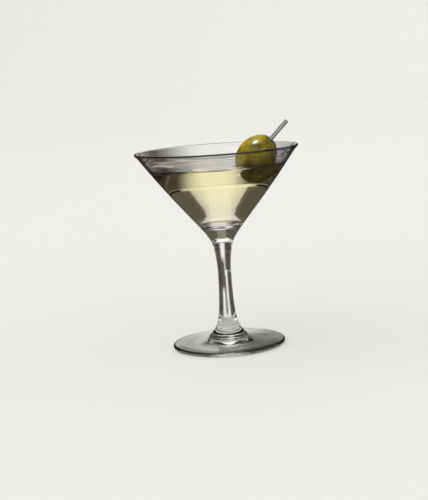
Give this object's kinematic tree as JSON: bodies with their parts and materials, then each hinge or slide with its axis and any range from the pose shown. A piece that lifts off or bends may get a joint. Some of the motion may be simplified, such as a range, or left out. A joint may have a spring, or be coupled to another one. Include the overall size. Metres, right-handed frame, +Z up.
{
  "type": "martini cocktail",
  "caption": "Stemmed cone-bowl cocktail glass filled with a pale drink, with a green olive on a slanted pick.",
  "frame": {"origin": "middle of the foot's resting ring, on the glass's axis", "axes": "+Z up along the stem, +X towards the side where the olive floats, -Y towards the viewer of the picture"},
  "size_m": [0.102, 0.102, 0.1403],
  "materials": {
    "glass": "clear, polished",
    "drink": "clear pale straw-coloured liquid",
    "olive": "moist yellow-green skin",
    "pick": "polished"
  },
  "bodies": {
    "root": {"glass": "glass", "drink": "drink", "olive": "olive", "pick": "pick"}
  },
  "joints": []
}
